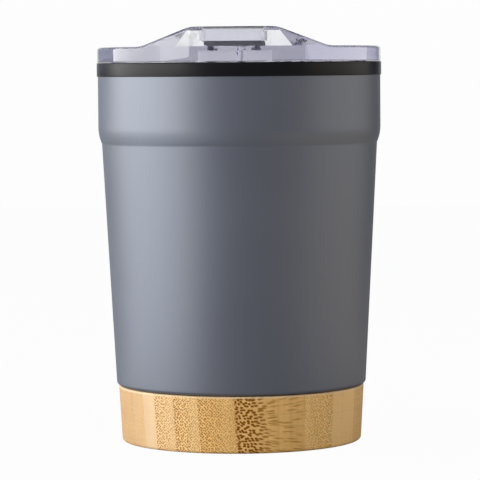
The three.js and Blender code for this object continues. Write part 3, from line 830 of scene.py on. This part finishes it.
# Lid seal
# A pale silicone ring stretched into the groove round the plug.
# Its two soft lips wipe the wall of the cup as the lid goes in.
seal_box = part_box("lid_seal")
SEAL_PLAY = 0.1 * MM
SEAL_LIP_RADIUS = seal_box[1][0]
SEAL_LOW, SEAL_HIGH = seal_box[0][2], seal_box[1][2]
SEAL_INNER = SEAL_GROOVE_RADIUS + SEAL_PLAY
SEAL_LIPS = 2
SEAL_LIP_STEPS = 16
SEAL_LIP_FULLNESS = 0.7
SILICONE_COLOUR = ((0.66, 0.66, 0.67, 1), (0.74, 0.74, 0.75, 1))
SILICONE_CLOUD = (0.2, 3.0)
SILICONE_GRAIN = (4.0, 2.0)
SILICONE_ROUGHNESS = (0.5, 0.2)
SILICONE_BUMP = (0.02 * MM, 0.4)


def silicone(colours):
    """Soft rubber of two near tones: a dusty cloud in the colour and a fine matt grain."""

    def build(wire):
        here = wire.point(*wire.place())
        cloud = wire.noise(here, *SILICONE_CLOUD)
        grain = wire.noise(here, *SILICONE_GRAIN)
        base, with_cloud = SILICONE_ROUGHNESS
        rough = base + cloud * with_cloud
        return {"Base Color": cloud.mix(*colours), "Roughness": rough, "Normal": grain.bump(*SILICONE_BUMP)}

    return build


lip_height = np.linspace(0, 1, SEAL_LIP_STEPS * SEAL_LIPS + 1)
lip_reach = np.abs(np.sin(np.pi * SEAL_LIPS * lip_height)) ** SEAL_LIP_FULLNESS
lip_radius = PLUG_RADIUS + lip_reach * (SEAL_LIP_RADIUS - PLUG_RADIUS)
seal_profile = outline(
    (SEAL_INNER, SEAL_LOW),
    np.stack([lip_radius, SEAL_LOW + lip_height * (SEAL_HIGH - SEAL_LOW)], axis=1),
    (SEAL_INNER, SEAL_HIGH),
)
lid_seal = turned("lid_seal_ring", seal_profile, closes=True)
pale_silicone = finish("pale_silicone", silicone(SILICONE_COLOUR))
dress(lid_seal, pale_silicone, "lid", "lid_seal")

# Slider tab
# A clear moulded tab that snaps into the channel. Its foot runs under the channel's lips, and a
# scoop in its top takes the thumb.
SLIDER_LOW, SLIDER_TOP = slider_box[0][2], slider_box[1][2]
SLIDER_FOOT_HALF = slider_box[1][0]
SLIDER_FOOT_TOP = LID_TOP - CHANNEL_LIP - SLIDER_PLAY
SCOOP_SETBACK = 8.0 * MM
SCOOP_RADIUS = 14.0 * MM
SCOOP_DEPTH = 0.5 * MM
SCOOP_Y = SLIDER_BACK - SCOOP_SETBACK
SCOOP_STEPS = 128

slider_side = outline(
    (SLIDER_FOOT_HALF, SLIDER_LOW),
    (SLIDER_FOOT_HALF, SLIDER_FOOT_TOP),
    (SLIDER_HALF, SLIDER_FOOT_TOP),
    (SLIDER_HALF, SLIDER_TOP),
)
lid_slider = within(-SLIDER_FRONT, "lid_slider_clear", mirrored(slider_side), -BEYOND, SLIDER_BACK)
scoop_centre = (SCOOP_Y, SLIDER_TOP - SCOOP_DEPTH + SCOOP_RADIUS)
scoop_ring = arc(scoop_centre, SCOOP_RADIUS, 0, 360, SCOOP_STEPS)[:-1]
combine(lid_slider, "DIFFERENCE", carried("scoop", scoop_ring, -BEYOND, BEYOND, ALONG_X))
shade(lid_slider.data, CLEAR_SHARP_EDGE)
dress(lid_slider, clear_finish, "slider", "lid_slider")

# Slider gasket
# A dark silicone pad stuck to the underside of the tab.
# It slides with the tab and presses on the rim of the drink hole.
gasket_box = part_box("slider_gasket")
GASKET_LOW, GASKET_HIGH = gasket_box[0][2], gasket_box[1][2]
GASKET_HALF, GASKET_BACK = gasket_box[1][0], gasket_box[1][1]
GASKET_FRONT_RADIUS = -gasket_box[0][1]
GASKET_CORNER = 2.0 * MM
DARK_COLOUR = ((0.016, 0.020, 0.052, 1), (0.026, 0.031, 0.070, 1))

front_angle = math.degrees(math.asin(GASKET_HALF / GASKET_FRONT_RADIUS))
inner_half = GASKET_HALF - GASKET_CORNER
gasket_plan = outline(
    arc((0, 0), GASKET_FRONT_RADIUS, -90 - front_angle, front_angle - 90, steps=24),
    arc((inner_half, GASKET_BACK - GASKET_CORNER), GASKET_CORNER, 0, 90, steps=8),
    arc((-inner_half, GASKET_BACK - GASKET_CORNER), GASKET_CORNER, 90, 180, steps=8),
)
slider_gasket = carried("slider_gasket_pad", gasket_plan, GASKET_LOW, GASKET_HIGH, ALONG_Z)
dark_silicone = finish("dark_silicone", silicone(DARK_COLOUR))
dress(slider_gasket, dark_silicone, "slider", "slider_gasket")

# Floor, backdrop and light
# A pale floor that keeps the mug's soft shadow and a backdrop, both white to the camera and through the
# clear lid. Three soft boxes and two glowing cards on the floor, cool at the left and warm at the right,
# light the mug, in a room whose front, left and right differ.
FLOOR_HALF = 3.0
FLOOR_LEVEL = -0.2 * MM
FLOOR_GREY = 0.42
BACKDROP_Y = 1.4
BACKDROP_HALF = 0.55
BACKDROP_TOP = 0.9
BACKDROP_GREY = 0.85
STAGE_WHITE = 0.97
SEEN_RAYS = ("Is Camera Ray", "Is Transmission Ray")
MIRRORED_RAYS = ("Is Camera Ray", "Is Glossy Ray", "Is Transmission Ray")
WHITE = (1, 1, 1, 1)
# The room's colours, and where one turns to the next, as the X or Y of a direction
ROOM_FRONT = (0.356, 0.359, 0.419, 1)
ROOM_LEFT = (0.42, 0.49, 0.60, 1)
ROOM_RIGHT = (0.037, 0.058, 0.12, 1)
ROOM_LEFT_THROUGH_CLEAR = (1.24, 1.24, 1.30, 1)
ROOM_RIGHT_THROUGH_CLEAR = (0.60, 0.60, 0.66, 1)
FRONT_TO_SIDES = (-0.75, -0.35)
LEFT_TO_RIGHT = (-0.15, 0.15)
CLEAR_LEFT_TO_RIGHT = (0.15, 0.5)
# Each soft box or card: where its middle is, what it faces, its width and height, its brightness, where
# 1 is white, and its colour. A card faces a hair off straight up, so that its turn is settled.
SOFT_BOXES = {
    "left_box": ((-0.80, -0.31, 0.20), (0.0, -0.31, 0.12), (1.47, 0.62), 4.95, (1.0, 0.99, 0.96)),
    "right_box": ((0.80, 0.06, 0.20), (0.0, 0.06, 0.12), (1.08, 0.60), 1.44, (1.0, 0.935, 0.81)),
    "top_box": ((0.0, -0.45, 0.95), (0.0, 0.0, 0.07), (0.80, 0.60), 2.4, (1.0, 1.0, 1.0)),
    "left_card": (
        (-0.425, -0.15, 0.0005), (-0.425, -0.1499, 1.0), (0.65, 0.45), 1.35, (0.875, 0.93, 1.0),
    ),
    "right_card": (
        (0.225, -0.10, 0.0005), (0.225, -0.0999, 1.0), (0.25, 0.50), 0.47, (1.0, 0.79, 0.51),
    ),
}


def stage_finish(name, grey, seen):
    """Grey and diffuse to the light; to the named kinds of ray most of it is plain white."""
    material = bpy.data.materials.new(name)
    material.use_nodes = True
    material.cycles.emission_sampling = "NONE"
    tree = material.node_tree
    tree.nodes.clear()
    wire = Wire(tree)
    rays = [wire.node("ShaderNodeLightPath", output=kind) for kind in seen]
    white = rays[0]
    for ray in rays[1:]:
        white = white.math("MAXIMUM", ray)
    dull = wire.node("ShaderNodeBsdfDiffuse", {}, {0: (grey, grey, grey, 1)})
    glow = wire.node("ShaderNodeEmission", {}, {0: WHITE, 1: 1.0})
    both = wire.node("ShaderNodeMixShader", {}, {0: white * STAGE_WHITE, 1: dull, 2: glow})
    out = tree.nodes.new("ShaderNodeOutputMaterial")
    tree.links.new(both.socket, out.inputs[0])
    return material


def flat(name, corners, material):
    """One flat face of the stage through its corners."""
    mesh = bpy.data.meshes.new(name)
    mesh.from_pydata(corners, [], [tuple(range(len(corners)))])
    mesh.materials.append(material)
    piece = bpy.data.objects.new(name, mesh)
    bpy.context.collection.objects.link(piece)


floor_corners = [
    (-FLOOR_HALF, -FLOOR_HALF, FLOOR_LEVEL),
    (FLOOR_HALF, -FLOOR_HALF, FLOOR_LEVEL),
    (FLOOR_HALF, FLOOR_HALF, FLOOR_LEVEL),
    (-FLOOR_HALF, FLOOR_HALF, FLOOR_LEVEL),
]
flat("floor", floor_corners, stage_finish("floor_white", FLOOR_GREY, SEEN_RAYS))
backdrop_corners = [
    (-BACKDROP_HALF, BACKDROP_Y, 0),
    (BACKDROP_HALF, BACKDROP_Y, 0),
    (BACKDROP_HALF, BACKDROP_Y, BACKDROP_TOP),
    (-BACKDROP_HALF, BACKDROP_Y, BACKDROP_TOP),
]
flat("backdrop", backdrop_corners, stage_finish("backdrop_white", BACKDROP_GREY, MIRRORED_RAYS))


def look(place, aim):
    """The turn that points an object's -Z from one place to another, with its Y axis upwards."""
    return (Vector(aim) - Vector(place)).to_track_quat("-Z", "Y").to_euler()


def soft_box(name, place, aim, size, brightness, colour):
    """A rectangular lamp whose face looks as bright as the number says: its power is pi times its area
    times that. The camera doesn't see it, and neither does the clear lid, whose ends would flare."""
    lamp = bpy.data.lights.new(name, "AREA")
    lamp.shape = "RECTANGLE"
    lamp.size, lamp.size_y = size
    lamp.energy = math.pi * size[0] * size[1] * brightness
    lamp.color = colour
    holder = bpy.data.objects.new(name, lamp)
    holder.location = place
    holder.rotation_euler = look(place, aim)
    holder.visible_camera = False
    holder.visible_transmission = False
    bpy.context.collection.objects.link(holder)


for name, settings in SOFT_BOXES.items():
    soft_box(name, *settings)

room = bpy.data.worlds.new("room")
room.use_nodes = True
wire = Wire(room.node_tree)
camera_ray = wire.node("ShaderNodeLightPath", output="Is Camera Ray")
clear_ray = wire.node("ShaderNodeLightPath", output="Is Transmission Ray")
direction = wire.node("ShaderNodeTexCoord", output="Generated")
side, depth = [wire.node("ShaderNodeSeparateXYZ", {}, {0: direction}, axis) for axis in range(2)]
room_sides = side.between(*LEFT_TO_RIGHT).mix(ROOM_LEFT, ROOM_RIGHT)
room_grey = depth.between(*FRONT_TO_SIDES).mix(ROOM_FRONT, room_sides)
through_clear = side.between(*CLEAR_LEFT_TO_RIGHT).mix(ROOM_LEFT_THROUGH_CLEAR, ROOM_RIGHT_THROUGH_CLEAR)
room_colour = camera_ray.mix(clear_ray.mix(room_grey, through_clear), WHITE)
room.node_tree.links.new(room_colour.socket, room.node_tree.nodes["Background"].inputs[0])
bpy.context.scene.world = room
bpy.context.scene.view_settings.view_transform = "Standard"

# Camera
# Far off and level with the collar's top, so the lid is seen edge on and the base's curve shows.
# It stands a little to the right of the mug's front and is tipped a little sideways.
CAMERA_DISTANCE = 868.6 * MM
CAMERA_HEIGHT = 113.3 * MM
CAMERA_AIM_HEIGHT = 60.0 * MM
CAMERA_LENS = 217.45
CAMERA_SENSOR = 36
CAMERA_AZIMUTH = math.radians(2.3)
CAMERA_ROLL = math.radians(0.45)
PICTURE_SIDE = 480
CAMERA_SHIFT = (-0.3 / PICTURE_SIDE, -0.5 / PICTURE_SIDE)

camera = bpy.data.objects.new("camera", bpy.data.cameras.new("camera"))
camera.data.lens = CAMERA_LENS
camera.data.sensor_width = CAMERA_SENSOR
camera.data.shift_x, camera.data.shift_y = CAMERA_SHIFT
camera.location = (
    CAMERA_DISTANCE * math.sin(CAMERA_AZIMUTH),
    -CAMERA_DISTANCE * math.cos(CAMERA_AZIMUTH),
    CAMERA_HEIGHT,
)
camera.rotation_euler = look(camera.location, (0, 0, CAMERA_AIM_HEIGHT))
camera.rotation_euler.rotate_axis("Z", -CAMERA_ROLL)
bpy.context.collection.objects.link(camera)
bpy.context.scene.camera = camera
